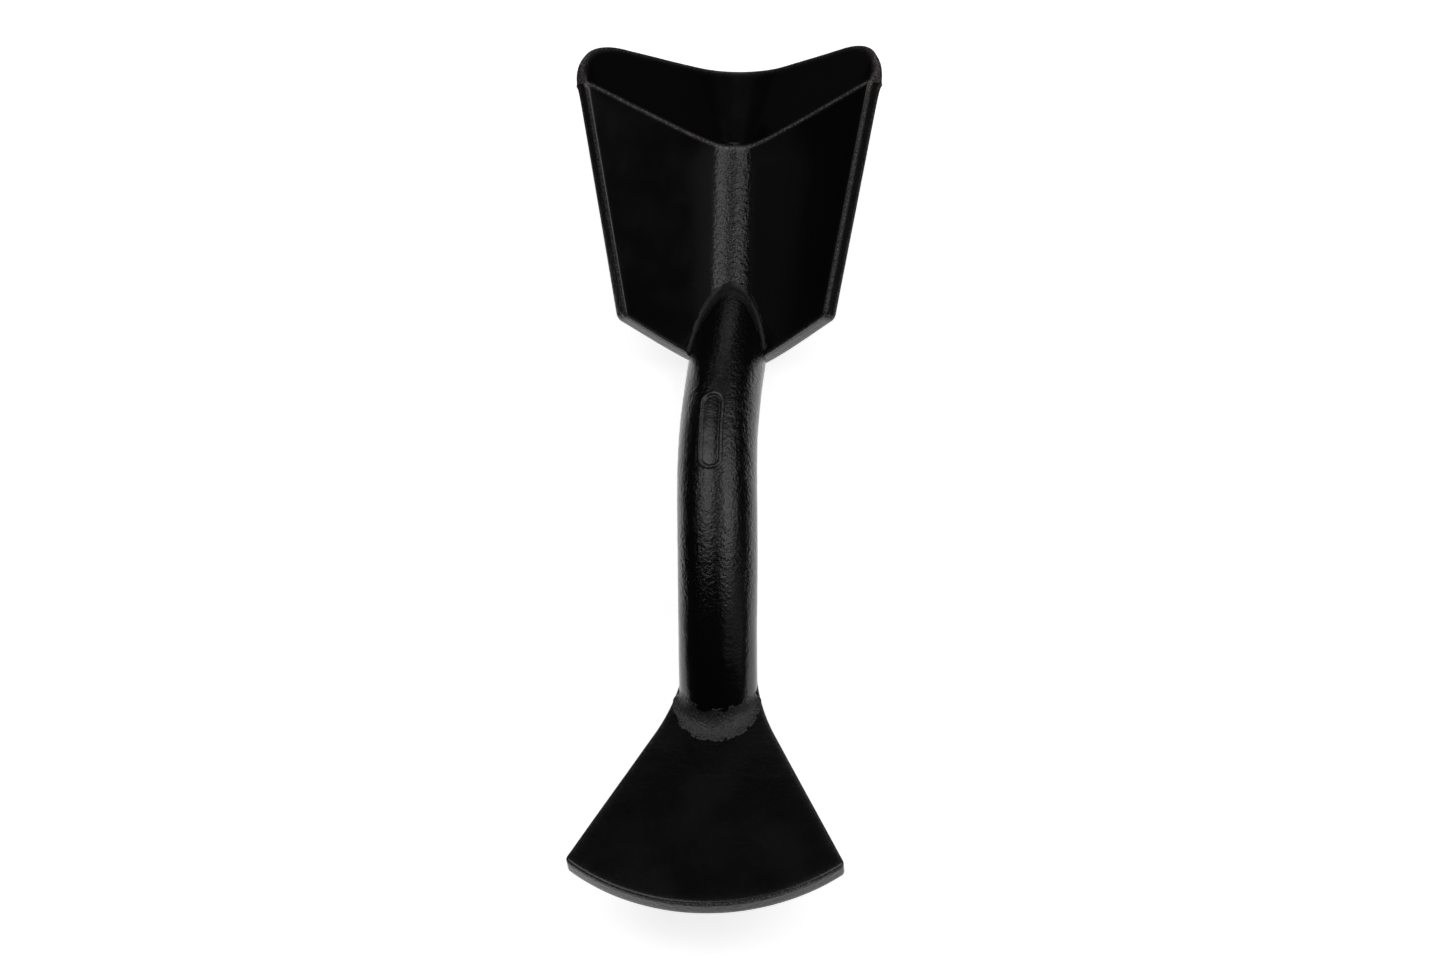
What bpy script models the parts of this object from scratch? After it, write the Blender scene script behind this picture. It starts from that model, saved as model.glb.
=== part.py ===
"""A double-ended hand tool in black-lacquered steel: a bowed round grip bar, a V-shaped trough
blade with a hollow-ground lobed rim at one end, and a fan-shaped blade at the other. Each blade
is let into a notch in the bar and held by a fillet of weld.

Metres, +Z up. +Y runs along the tool towards the trough blade, +X across it. The tool lies on
its two heels at Z = 0 with the bow upwards, and the origin is the middle of its footprint.
"""

import math

import bmesh
import bpy
from mathutils import Matrix, Vector

MM = 0.001
GAP = 0.3 * MM  # left between pieces that touch

# Grip bar: a round bar bent to an arc in the YZ plane
BAR_DIAMETER = 22.0 * MM
BAR_SWELL = 0.3 * MM  # added to the radius at the middle of the grip
BOW_RADIUS = 100.0 * MM  # of the bar's axis
HEEL_START = 39.0 * MM  # where the bar's underside reaches the bench, from the crest
HEEL_END = 46.0 * MM  # where the flat of each heel stops and its blade begins

# Badge: a blank raised border on the crown of the bar
BADGE_LENGTH = 25.0 * MM
BADGE_WIDTH = 7.2 * MM
BADGE_BORDER = 1.1 * MM
BADGE_HEIGHT = 0.45 * MM
BADGE_DEPTH = 1.0 * MM  # how far its border is rooted in the bar
BADGE_CENTRE = 20.0 * MM  # from the crest, along the crown
BADGE_LEAN = math.radians(-5.0)  # around the bar, away from +X

# Trough blade
HEAD_RISE = math.radians(4.6)  # of its keel above the bench
HEAD_THICK = 5.5 * MM
HEAD_WING_TILT = math.radians(37.0)
HEAD_VALLEY_RADIUS = 9.0 * MM
HEAD_ROOT_HALF_WIDTH = 28.2 * MM  # of the inner face, at its lower corners
HEAD_TIP_HALF_WIDTH = 40.5 * MM  # of the inner face, at its upper corners
HEAD_ROOT_CORNER = 10.6 * MM  # along the keel, from the heel to the lower corners
HEAD_TIP_CORNER = 77.1 * MM  # along the keel, from the heel to the upper corners
HEAD_ROOT_ROUND = 7.5 * MM
HEAD_GRIND_MIDDLE = 65.5 * MM  # along the keel, from the heel to where the grind begins
HEAD_GRIND_ROUND = 4.0 * MM
HEAD_BEND = math.radians(21.5)  # of the ground part, down from the inner face
HEAD_NOTCH = 92.2 * MM  # along the keel, from the heel to the middle of the rim
HEAD_LOBE = 92.2 * MM  # along the keel, from the heel to the top of each lobe
HEAD_LOBE_PLACE = 0.62  # of the way from the middle to the side
HEAD_RIM_THICK = 1.4 * MM

# Fan blade
FAN_RISE = math.radians(21.6)
FAN_THICK = 5.8 * MM
FAN_ROOT_HALF_WIDTH = 6.6 * MM
FAN_ROOT_SETBACK = 1.5 * MM  # from the heel to the root of the blade
FAN_CORNER = 62.9 * MM  # along the blade, from the heel to its corners
FAN_HALF_WIDTH = 38.3 * MM  # at the corners
FAN_REACH = 76.4 * MM  # along the blade, from the heel to the middle of its edge

# Weld fillets
FAN_WELD_LEG = 4.2 * MM
FAN_WELD_SPAN = math.radians(78.0)  # each way round the bar from its crown
HEAD_WELD_LEG = 3.0 * MM
HEAD_WELD_SPAN = math.radians(84.0)
WELD_END_SHARE = 0.35  # leg at a weld's two ends, as a share of its full leg
WELD_HOLLOW = 0.62  # how far a fillet's hollow comes out of its corner, as a share of the way to a flat one

# How finely round shapes are faceted
BAR_SIDES = 36
BAR_STATIONS = 44
HEAD_COLUMNS = 22  # from the middle to each side
HEAD_FACE_ROWS = 8
HEAD_GRIND_ROWS = 3
FAN_ARC_STEPS = 32
WELD_STATIONS = 28
BADGE_ARC_STEPS = 8

BAR_RADIUS = BAR_DIAMETER / 2
BOW_CENTRE_Z = -math.sqrt((BOW_RADIUS - BAR_RADIUS) ** 2 - HEEL_START**2)
FAR = 60.0 * MM  # how far cutters run past what they cut
BLANK_SPARE = math.radians(33.5)  # how far the bent bar runs past its heels before it is cut to fit


def clear_scene():
    """Remove every object from the open scene."""
    for old in list(bpy.data.objects):
        bpy.data.objects.remove(old, do_unlink=True)


def steel(name, colour, roughness):
    """Black-lacquered steel for one piece."""
    material = bpy.data.materials.new(name)
    material.use_nodes = True
    shader = material.node_tree.nodes["Principled BSDF"]
    shader.inputs["Base Color"].default_value = (*colour, 1.0)
    shader.inputs["Roughness"].default_value = roughness
    shader.inputs["Metallic"].default_value = 0.0
    return material


def add_object(name, bm, material=None):
    """Turn a bmesh into a named object, shaded smooth where it is round."""
    bmesh.ops.recalc_face_normals(bm, faces=bm.faces)
    mesh = bpy.data.meshes.new(name)
    bm.to_mesh(mesh)
    bm.free()
    mesh.shade_smooth()
    mesh.set_sharp_from_angle(angle=math.radians(30.0))
    if material:
        mesh.materials.append(material)
    piece = bpy.data.objects.new(name, mesh)
    bpy.context.scene.collection.objects.link(piece)
    return piece


def add_cutter(name, bm):
    """A hidden solid that a Boolean cuts with or joins on."""
    cutter = add_object(name, bm)
    cutter.hide_render = True
    cutter.display_type = "WIRE"
    return cutter


def boolean(piece, other, operation):
    """Cut a piece with a hidden solid, or join the solid to it."""
    modifier = piece.modifiers.new(other.name, "BOOLEAN")
    modifier.operation = operation
    modifier.solver = "EXACT"
    modifier.object = other


def loft(rings, closed=False):
    """A solid through rings of points, capped at both ends or closed on itself."""
    bm = bmesh.new()
    loops = [[bm.verts.new(point) for point in ring] for ring in rings]
    count = len(loops[0])
    following = loops[1:] + (loops[:1] if closed else [])
    for loop, after in zip(loops, following):
        for i in range(count):
            j = (i + 1) % count
            bm.faces.new((loop[i], loop[j], after[j], after[i]))
    if not closed:
        bm.faces.new(loops[0])
        bm.faces.new(loops[-1])
    return bm


def slab(low, high, frame):
    """A box between two corners, placed by a frame."""
    bm = bmesh.new()
    size = Vector(high) - Vector(low)
    middle = (Vector(high) + Vector(low)) / 2
    place = frame @ Matrix.Translation(middle) @ Matrix.Diagonal((*size, 1.0))
    bmesh.ops.create_cube(bm, size=1.0, matrix=place)
    return bm


def soft_vee(across, slope, rounding):
    """A V of the given slope with a rounded point at zero."""
    return math.hypot(slope * across, rounding) - rounding


def blade_frame(rise, towards):
    """A blade's own frame: Y along it from the heel, Z up from its back, X across.

    towards is 1 for the trough blade, at +Y, and -1 for the fan blade.
    """
    turn = Matrix.Rotation(0.0 if towards > 0 else math.pi, 4, "Z")
    return Matrix.Translation((0.0, towards * HEEL_END, 0.0)) @ turn @ Matrix.Rotation(rise, 4, "X")


HEAD_FRAME = blade_frame(HEAD_RISE, 1)
FAN_FRAME = blade_frame(FAN_RISE, -1)


# ---- grip bar ----


def bar_radius(turn):
    """The bar's radius at an angle along the bow: full at the middle of the grip."""
    share = min(1.0, abs(BOW_RADIUS * math.sin(turn)) / HEEL_END)
    return BAR_RADIUS + BAR_SWELL * math.cos(share * math.pi / 2) ** 2


def bar_point(turn, around, radius):
    """A point at a radius from the bar's axis.

    turn is the angle along the bow from its crest towards +Y, and around the angle about the
    bar's own axis from its crown towards +X.
    """
    reach = BOW_RADIUS + radius * math.cos(around)
    return Vector((radius * math.sin(around), reach * math.sin(turn), BOW_CENTRE_Z + reach * math.cos(turn)))


def bar_blank():
    """The bent bar before its ends are cut to fit the blades."""
    last = math.asin(HEEL_END / BOW_RADIUS) + BLANK_SPARE
    rings = []
    for i in range(BAR_STATIONS + 1):
        turn = last * (2 * i / BAR_STATIONS - 1)
        sides = [2 * math.pi * k / BAR_SIDES for k in range(BAR_SIDES)]
        rings.append([bar_point(turn, around, bar_radius(turn)) for around in sides])
    return loft(rings)


def badge_outline(inset):
    """Points round the badge's border: along the bar from its centre, and across."""
    radius = BADGE_WIDTH / 2 - inset
    straight = (BADGE_LENGTH - BADGE_WIDTH) / 2
    points = []
    for end in (1, -1):
        for k in range(BADGE_ARC_STEPS + 1):
            angle = math.pi * k / BADGE_ARC_STEPS
            points.append((end * (straight + radius * math.sin(angle)), end * radius * math.cos(angle)))
    return points


def badge_ring():
    """The badge's raised border, wrapped on the bar and rooted in it."""
    rings = []
    for outer, inner in zip(badge_outline(0.0), badge_outline(BADGE_BORDER)):
        ring = []
        lifts = (-BADGE_DEPTH, BADGE_HEIGHT, BADGE_HEIGHT, -BADGE_DEPTH)
        for (along, across), lift in zip((outer, outer, inner, inner), lifts):
            turn = (BADGE_CENTRE + along) / (BOW_RADIUS + BAR_RADIUS)
            ring.append(bar_point(turn, BADGE_LEAN + across / BAR_RADIUS, bar_radius(turn) + lift))
        rings.append(ring)
    return loft(rings, closed=True)


def grip_bar():
    """The bowed bar, flat under both heels and notched for both blades."""
    bar = add_object("grip_bar", bar_blank(), steel("grip_lacquer", (0.012, 0.011, 0.011), 0.32))
    boolean(bar, add_cutter("badge_ring", badge_ring()), "UNION")
    low = (-FAR, -2 * FAR, -2 * FAR)
    boolean(bar, add_cutter("bench_cut", slab(low, (FAR, 2 * FAR, 0.0), Matrix())), "DIFFERENCE")
    under_fan = slab((-FAR, 0.0, -FAR), (FAR, 2 * FAR, GAP), FAN_FRAME)
    boolean(bar, add_cutter("fan_back_cut", under_fan), "DIFFERENCE")
    boolean(bar, add_cutter("fan_notch", fan_plate(GAP, FAR)), "DIFFERENCE")
    boolean(bar, add_cutter("head_notch", head_plate(GAP, FAR)), "DIFFERENCE")
    return bar


# ---- trough blade ----


def valley(across):
    """Height of the trough's inner face over its lowest line, at a distance across."""
    flank = HEAD_VALLEY_RADIUS * math.sin(HEAD_WING_TILT)
    if abs(across) < flank:
        return HEAD_VALLEY_RADIUS - math.sqrt(HEAD_VALLEY_RADIUS**2 - across**2)
    fillet_rise = HEAD_VALLEY_RADIUS * (1 - math.cos(HEAD_WING_TILT))
    return fillet_rise + (abs(across) - flank) * math.tan(HEAD_WING_TILT)


def valley_tilt(across):
    """Slope angle of the inner face at a distance across, positive towards +X."""
    flank = HEAD_VALLEY_RADIUS * math.sin(HEAD_WING_TILT)
    share = max(-1.0, min(1.0, across / flank))
    return math.asin(share * math.sin(HEAD_WING_TILT))


def head_half_width(along):
    """Half the inner face's width, at a distance along the keel."""
    share = (along - HEAD_ROOT_CORNER) / (HEAD_TIP_CORNER - HEAD_ROOT_CORNER)
    return HEAD_ROOT_HALF_WIDTH + share * (HEAD_TIP_HALF_WIDTH - HEAD_ROOT_HALF_WIDTH)


def head_root(share):
    """Where the blade's root edge lies along the keel, at a share of the half width."""
    drop = HEAD_ROOT_CORNER
    slope = math.sqrt((drop + HEAD_ROOT_ROUND) ** 2 - HEAD_ROOT_ROUND**2)
    return soft_vee(share, slope, HEAD_ROOT_ROUND)


def head_grind(share):
    """Where the hollow grind begins along the keel, at a share of the half width."""
    drop = HEAD_TIP_CORNER - HEAD_GRIND_MIDDLE
    slope = math.sqrt((drop + HEAD_GRIND_ROUND) ** 2 - HEAD_GRIND_ROUND**2)
    return HEAD_GRIND_MIDDLE + soft_vee(share, slope, HEAD_GRIND_ROUND)


def head_rim(share):
    """Where the rim lies along the keel: a notch in the middle and a round lobe on each side."""
    share = abs(share)
    if share < HEAD_LOBE_PLACE:
        wave = (1 - math.cos(math.pi * share / HEAD_LOBE_PLACE)) / 2
        return HEAD_NOTCH + (HEAD_LOBE - HEAD_NOTCH) * wave
    fall = (share - HEAD_LOBE_PLACE) / (1 - HEAD_LOBE_PLACE)
    corner = HEAD_TIP_CORNER + GAP
    return corner + (HEAD_LOBE - corner) * math.sqrt(max(0.0, 1 - fall**2))


def head_fall(grind, rim):
    """How far the ground part falls below the inner face by the time it reaches the rim."""
    return max(HEAD_THICK - HEAD_RIM_THICK, (rim - grind) * math.tan(HEAD_BEND))


def head_point(share, along, lift):
    """A point of the trough blade in its own frame.

    share runs from -1 to 1 across the inner face, along is the distance along the keel, and
    lift the distance above the inner face, square to it.
    """
    across = share * head_half_width(along)
    tilt = valley_tilt(across)
    height = HEAD_THICK + valley(across)
    return Vector((across - lift * math.sin(tilt), along, height + lift * math.cos(tilt)))


def head_columns():
    """Shares of the half width, closer together towards the lobes' round sides."""
    half = []
    for k in range(HEAD_COLUMNS + 1):
        q = k / HEAD_COLUMNS
        half.append(0.55 * q + 0.45 * math.sin(q * math.pi / 2))
    return [-share for share in reversed(half[1:])] + half


def head_plate(grow=0.0, drop=0.0):
    """The trough blade: a ring of rows, inner face out to the rim and back under.

    grow enlarges it for a cutter with room to spare, and drop carries its back far down.
    """
    rows = []
    for share in head_columns():
        start = head_root(share) - grow
        grind = head_grind(share)
        rim = head_rim(share)
        ring = []
        for i in range(HEAD_FACE_ROWS + 1):
            ring.append(head_point(share, start + (grind - start) * i / HEAD_FACE_ROWS, grow))
        fall = head_fall(grind, rim)
        for i in range(1, HEAD_GRIND_ROWS + 1):
            part = i / HEAD_GRIND_ROWS
            ring.append(head_point(share, grind + (rim - grind) * part, grow - fall * part))
        under = [head_point(share, rim, -fall - HEAD_RIM_THICK)]
        for i in range(HEAD_FACE_ROWS, -1, -1):
            under.append(head_point(share, start + (grind - start) * i / HEAD_FACE_ROWS, -HEAD_THICK))
        if drop:
            below = [point - Vector((0.0, 0.0, drop)) for point in under]
            under = under[:1] + below + under[-1:]
        ring += under
        rows.append([HEAD_FRAME @ point for point in ring])
    return loft(rows)


def head_blade():
    """The V-shaped trough blade."""
    return add_object("head_blade", head_plate(), steel("head_lacquer", (0.010, 0.010, 0.011), 0.30))


# ---- fan blade ----


def fan_outline(grow):
    """The fan's outline in its own frame: straight sides and one round edge."""
    sagitta = FAN_REACH - FAN_CORNER
    radius = (FAN_HALF_WIDTH**2 + sagitta**2) / (2 * sagitta)
    half_angle = math.asin(FAN_HALF_WIDTH / radius)
    centre = FAN_REACH - radius
    points = [(-FAN_ROOT_HALF_WIDTH - grow, FAN_ROOT_SETBACK - grow)]
    for i in range(FAN_ARC_STEPS + 1):
        angle = half_angle * (2 * i / FAN_ARC_STEPS - 1)
        points.append(((radius + grow) * math.sin(angle), centre + (radius + grow) * math.cos(angle)))
    points.append((FAN_ROOT_HALF_WIDTH + grow, FAN_ROOT_SETBACK - grow))
    return points


def fan_plate(grow=0.0, drop=0.0):
    """The fan blade as a plate; grow and drop enlarge it for a cutter."""
    levels = (-drop, FAN_THICK + grow)
    rings = []
    for level in levels:
        rings.append([FAN_FRAME @ Vector((x, y, level)) for x, y in fan_outline(grow)])
    return loft(rings)


def fan_blade():
    """The fan-shaped blade."""
    return add_object("fan_blade", fan_plate(), steel("fan_lacquer", (0.010, 0.010, 0.010), 0.34))


# ---- welds ----


def height_over_head(point):
    """Height of a point over the trough's inner face."""
    local = HEAD_FRAME.inverted() @ point
    return (local.z - HEAD_THICK - valley(local.x)) * math.cos(valley_tilt(local.x))


def height_over_fan(point):
    """Height of a point over the fan's face."""
    return (FAN_FRAME.inverted() @ point).z - FAN_THICK


def meet(height_over, towards, around, radius, height):
    """Follow the bar's surface down to a blade, to a height above its face."""
    near, far = 0.0, math.asin(0.95)
    for _ in range(40):
        middle = (near + far) / 2
        if height_over(bar_point(towards * middle, around, radius)) > height:
            near = middle
        else:
            far = middle
    return bar_point(towards * near, around, radius)


def weld(height_over, towards, leg, span):
    """A hollow fillet in the corner between the bar and a blade's face."""
    rings = []
    for i in range(WELD_STATIONS + 1):
        place = 2 * i / WELD_STATIONS - 1
        around = span * place
        size = leg * (1 - (1 - WELD_END_SHARE) * abs(place) ** 3)
        corner = meet(height_over, towards, around, BAR_RADIUS + GAP, GAP)
        foot = meet(height_over, towards, around, BAR_RADIUS + GAP + size, GAP)
        toe = meet(height_over, towards, around, BAR_RADIUS + GAP, GAP + size)
        hollow = corner.lerp((foot + toe) / 2, WELD_HOLLOW)
        flare = [foot.lerp(hollow, 0.5), hollow, toe.lerp(hollow, 0.5)]
        rings.append([corner, foot, *flare, toe])
    return loft(rings)


def fan_weld():
    """The weld round the bar's end on the fan."""
    bead = weld(height_over_fan, -1, FAN_WELD_LEG, FAN_WELD_SPAN)
    return add_object("fan_weld", bead, steel("fan_weld_lacquer", (0.016, 0.015, 0.015), 0.45))


def head_weld():
    """The weld round the bar's end in the trough."""
    bead = weld(height_over_head, 1, HEAD_WELD_LEG, HEAD_WELD_SPAN)
    return add_object("head_weld", bead, steel("head_weld_lacquer", (0.012, 0.012, 0.013), 0.40))


def assemble(pieces):
    """Parent the pieces to one empty that puts the middle of the footprint at the origin."""
    root = bpy.data.objects.new("tool", None)
    bpy.context.scene.collection.objects.link(root)
    for piece in pieces:
        piece.parent = root
    blades = [piece for piece in pieces if piece.name.endswith("_blade")]
    places = [vertex.co.y for blade in blades for vertex in blade.data.vertices]
    root.location = (0.0, -(min(places) + max(places)) / 2, 0.0)
    for cutter in bpy.data.objects:
        if cutter.hide_render:
            cutter.parent = root


def main():
    """Build the tool."""
    clear_scene()
    assemble([grip_bar(), head_blade(), fan_blade(), head_weld(), fan_weld()])


main()
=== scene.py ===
"""Looks for a double-ended hand tool in black-lacquered steel.

A bowed round grip bar carries a V-shaped trough blade at one end, towards +Y, and a fan-shaped
blade at the other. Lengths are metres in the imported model's frame, angles are radians.
"""

import logging
import math
from abc import ABC, abstractmethod
from dataclasses import dataclass, field
from enum import Enum

import bmesh
import bpy
import numpy as np
from mathutils import Matrix, Vector, noise


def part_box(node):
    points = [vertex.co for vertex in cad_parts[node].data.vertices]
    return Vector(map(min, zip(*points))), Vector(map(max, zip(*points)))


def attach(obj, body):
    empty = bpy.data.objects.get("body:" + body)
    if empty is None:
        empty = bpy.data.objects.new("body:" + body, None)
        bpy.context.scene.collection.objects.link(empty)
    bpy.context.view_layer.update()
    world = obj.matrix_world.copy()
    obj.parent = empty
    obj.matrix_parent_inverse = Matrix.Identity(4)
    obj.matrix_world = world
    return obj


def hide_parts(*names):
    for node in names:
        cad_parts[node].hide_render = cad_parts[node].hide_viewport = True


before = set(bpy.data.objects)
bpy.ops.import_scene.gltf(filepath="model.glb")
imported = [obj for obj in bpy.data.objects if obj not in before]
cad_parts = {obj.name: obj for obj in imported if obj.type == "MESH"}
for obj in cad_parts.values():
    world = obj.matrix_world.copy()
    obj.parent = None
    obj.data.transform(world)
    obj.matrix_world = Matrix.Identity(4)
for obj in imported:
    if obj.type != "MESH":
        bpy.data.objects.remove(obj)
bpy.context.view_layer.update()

Array = np.ndarray
MM = 0.001
WAVE_START = Vector((7.3, 1.9, 4.1))
SEARCH_STEPS = 40
EDGE_STEPS = tuple(step * MM for step in (0.0, 0.06, 0.15, 0.28, 0.45, 0.7, 1.0, 1.5))
CREASE_STEPS = tuple(step * MM for step in (2.0, 1.4, 1.0, 0.7, 0.45, 0.2))

log = logging.getLogger("tool")


class Slot(Enum):
    """Names of the material slots."""

    BLACK_LACQUER = "black_lacquer"
    LACQUERED_WELD = "lacquered_weld"


class End(Enum):
    """The two ends of the tool, by the way each points along Y."""

    TROUGH = 1
    FAN = -1


# ---- curves and grids ----


def smooth_max(first: Array, second: Array, reach: float) -> Array:
    """Take the larger of two values, with a fillet where they cross.

    Args:
        first: One set of values.
        second: The other set.
        reach: How near the two come before the fillet begins.

    Returns:
        The larger values.
    """
    near = np.maximum(reach - np.abs(first - second), 0.0) / reach
    return np.maximum(first, second) + near**2 * reach / 4


def soft_vee(across: Array, slope: float, rounding: float) -> Array:
    """Give a V of one slope with a rounded point at zero."""
    return np.hypot(slope * across, rounding) - rounding


def edge_drop(inset: Array, radius: Array) -> Array:
    """Find how far a rounded edge falls below its face.

    Args:
        inset: Distances in from the edge.
        radius: Radius of the rounding.

    Returns:
        The fall, which is the radius at the edge itself and nothing beyond the rounding.
    """
    left = np.clip(radius - inset, 0.0, radius)
    return radius - np.sqrt(np.maximum(radius**2 - left**2, 0.0))


def crowded(length: Array, start: tuple[float, ...], end: tuple[float, ...], steps: int) -> Array:
    """Space points along lines, closer together at both ends.

    Args:
        length: Length of each line.
        start: Distances of the first points from the start.
        end: Distances of the last points from the end, nearest last.
        steps: How many equal steps lie between them.

    Returns:
        One row of distances for each line.
    """
    length = np.asarray(length, dtype=float)[:, None]
    squeeze_start = np.minimum(1.0, 0.4 * length / max(start))
    squeeze_end = np.minimum(1.0, 0.4 * length / max(end))
    first = np.array(start)[None, :] * squeeze_start
    last = length - np.array(end)[None, :] * squeeze_end
    between = np.linspace(0.0, 1.0, steps + 1)[None, 1:-1]
    middle = first[:, -1:] + (last[:, :1] - first[:, -1:]) * between
    return np.concatenate([first, middle, last], axis=1)


def round_corner(side: Array, end: Array, radius: float) -> tuple[Array, Array]:
    """Round a square corner of an outline.

    Args:
        side: Distances in from one border.
        end: Distances in from the border square to it.
        radius: Radius of the rounding.

    Returns:
        How far each point moves in from each border.
    """
    across = np.maximum(radius - side, 0.0)
    along = np.maximum(radius - end, 0.0)
    span = np.maximum(np.hypot(across, along), 1e-12)
    pull = 1.0 - np.maximum(across, along) / span
    return across * pull, along * pull


def quads(index: Array) -> list[tuple[int, ...]]:
    """List the quads over a grid of vertex numbers."""
    corners = (index[:-1, :-1], index[1:, :-1], index[1:, 1:], index[:-1, 1:])
    return [tuple(face) for face in np.stack(corners, axis=-1).reshape(-1, 4).tolist()]


def rim_of(grid: Array) -> Array:
    """Walk once round a grid's border, without repeating its first entry."""
    return np.concatenate([grid[:-1, 0], grid[-1, :-1], grid[:0:-1, -1], grid[0, :0:-1]])


@dataclass
class Skin:
    """One closed surface.

    Attributes:
        points: Its points.
        faces: Its faces, as point numbers.
        edge: How pale each point is painted, from 0 to 1: wear specks, and a painted highlight along the
            edges, crease and badge border.
        grain: How rough the steel under the lacquer is at each point, from 0 to 1.
    """

    points: Array
    faces: list[tuple[int, ...]]
    edge: Array
    grain: Array

    @classmethod
    def plate(cls, top: Array, bottom: Array, edge: Array, grain: Array, loops: int = 3) -> "Skin":
        """Close two grids of points into a plate.

        Args:
            top: Points of the upper face, in columns and rows.
            bottom: Points of the lower face, one under each of the upper ones.
            edge: Nearness to the border at each point of the grid.
            grain: Roughness of the steel at each point of the upper face.
            loops: How many rings of points go round the side wall.

        Returns:
            The plate's skin.
        """
        count = top.shape[0] * top.shape[1]
        upper = np.arange(count).reshape(top.shape[:2])
        lower = upper + count
        above, below = rim_of(top), rim_of(bottom)
        walls = [above + (below - above) * (k + 1) / (loops + 1) for k in range(loops)]
        points = np.concatenate([top.reshape(-1, 3), bottom.reshape(-1, 3), *walls])
        rings = [rim_of(upper)]
        rings += [2 * count + k * len(above) + np.arange(len(above)) for k in range(loops)]
        rings.append(rim_of(lower))
        ladder = np.stack(rings, axis=1)
        ladder = np.concatenate([ladder, ladder[:1]])
        faces = quads(upper) + quads(lower) + quads(ladder)
        wall = np.ones(loops * len(above))
        near = np.concatenate([edge.reshape(-1), edge.reshape(-1), 0.08 * wall])
        coarse = np.concatenate([grain.reshape(-1), np.full(count, 0.5), 0.5 * wall])
        return cls(points, faces, near, coarse)

    @classmethod
    def tube(cls, rings: Array, edge: Array, grain: Array) -> "Skin":
        """Close rings of points into a solid with a fan of faces over each end.

        Args:
            rings: Points, in rings along the piece and round each ring.
            edge: How pale each point is painted: wear specks and a painted highlight.
            grain: Roughness of the steel at each point.

        Returns:
            The tube's skin.
        """
        count, sides = rings.shape[:2]
        index = np.arange(count * sides).reshape(count, sides)
        faces = quads(np.concatenate([index, index[:, :1]], axis=1))
        for place, ring in ((0, index[0]), (1, index[-1])):
            hub = count * sides + place
            faces += [(hub, int(a), int(b)) for a, b in zip(ring, np.roll(ring, -1))]
        hubs = np.stack([rings[0].mean(axis=0), rings[-1].mean(axis=0)])
        points = np.concatenate([rings.reshape(-1, 3), hubs])
        near, coarse = (np.append(values.reshape(-1), [0.0, 0.0]) for values in (edge, grain))
        return cls(points, faces, near, coarse)

    def to_object(self, name: str) -> bpy.types.Object:
        """Make the skin an object that is shaded smooth.

        Args:
            name: Name of the object and its mesh.

        Returns:
            The object, in the scene.
        """
        mesh = bpy.data.meshes.new(name)
        mesh.from_pydata(self.points.tolist(), [], self.faces)
        bm = bmesh.new()
        bm.from_mesh(mesh)
        bmesh.ops.recalc_face_normals(bm, faces=bm.faces)
        bm.to_mesh(mesh)
        bm.free()
        for label, values in (("edge", self.edge), ("grain", self.grain)):
            layer = mesh.attributes.new(label, "FLOAT", "POINT")
            layer.data.foreach_set("value", values.astype(np.float32))
        mesh.shade_smooth()
        piece = bpy.data.objects.new(name, mesh)
        bpy.context.scene.collection.objects.link(piece)
        return piece


@dataclass(frozen=True)
class Wave:
    """One size of unevenness left in a surface by forging or welding.

    Attributes:
        size: Distance over which the surface rises and falls.
        height: How far it rises or falls.
    """

    size: float
    height: float

    def lift(self, point: Vector) -> float:
        """Give the lift at a point."""
        return self.height * noise.noise(point / self.size + WAVE_START)


def roughen(piece: bpy.types.Object, waves: tuple[Wave, ...]) -> None:
    """Lift a piece's surface along its normals by waves of unevenness.

    Args:
        piece: The object to change.
        waves: The waves to add together.
    """
    mesh = piece.data
    normals = [Vector(normal.vector) for normal in mesh.vertex_normals]
    for vertex, normal in zip(mesh.vertices, normals):
        vertex.co += normal * sum(wave.lift(vertex.co) for wave in waves)
    mesh.update()


# ---- finishes ----


class NodeSheet:
    """A node tree with short ways to add and join its nodes."""

    def __init__(self, tree: bpy.types.NodeTree) -> None:
        """Clear a tree to build in."""
        self.tree = tree
        tree.nodes.clear()

    def add(self, kind: str, **values: object) -> bpy.types.Node:
        """Add a node.

        Args:
            kind: The node's type name, without "ShaderNode".
            **values: Properties, or inputs where the name is one of the node's sockets with
                underscores for spaces.

        Returns:
            The node.
        """
        node = self.tree.nodes.new("ShaderNode" + kind)
        for name, value in values.items():
            socket = name.replace("_", " ").strip()
            if socket in node.inputs and not hasattr(node, name):
                self.feed(node.inputs[socket], value)
            else:
                setattr(node, name, value)
        return node

    def feed(self, socket: bpy.types.NodeSocket, value: object) -> None:
        """Join another node's output to a socket, or set its value.

        Args:
            socket: The input to feed.
            value: An output to join to it, or a plain value.
        """
        if isinstance(value, bpy.types.NodeSocket):
            self.tree.links.new(value, socket)
        else:
            socket.default_value = value

    def math(self, operation: str, *values: object) -> bpy.types.NodeSocket:
        """Add a Math node.

        Args:
            operation: What it works out.
            *values: Its inputs, in order, as outputs or numbers.

        Returns:
            Its result.
        """
        node = self.tree.nodes.new("ShaderNodeMath")
        node.operation = operation
        for socket, value in zip(node.inputs, values):
            self.feed(socket, value)
        return node.outputs[0]

    def ramp(self, value: object, low: float, high: float, first: float = 0.0, last: float = 1.0,
             smooth: bool = True) -> bpy.types.NodeSocket:
        """Map a value from one range to another.

        Args:
            value: What to map.
            low: Where the ramp starts.
            high: Where it ends.
            first: The result at its start.
            last: The result at its end.
            smooth: Whether it eases in and out.

        Returns:
            The mapped value.
        """
        node = self.tree.nodes.new("ShaderNodeMapRange")
        node.interpolation_type = "SMOOTHSTEP" if smooth else "LINEAR"
        for socket, given in zip(node.inputs, (value, low, high, first, last)):
            self.feed(socket, given)
        return node.outputs[0]


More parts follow.
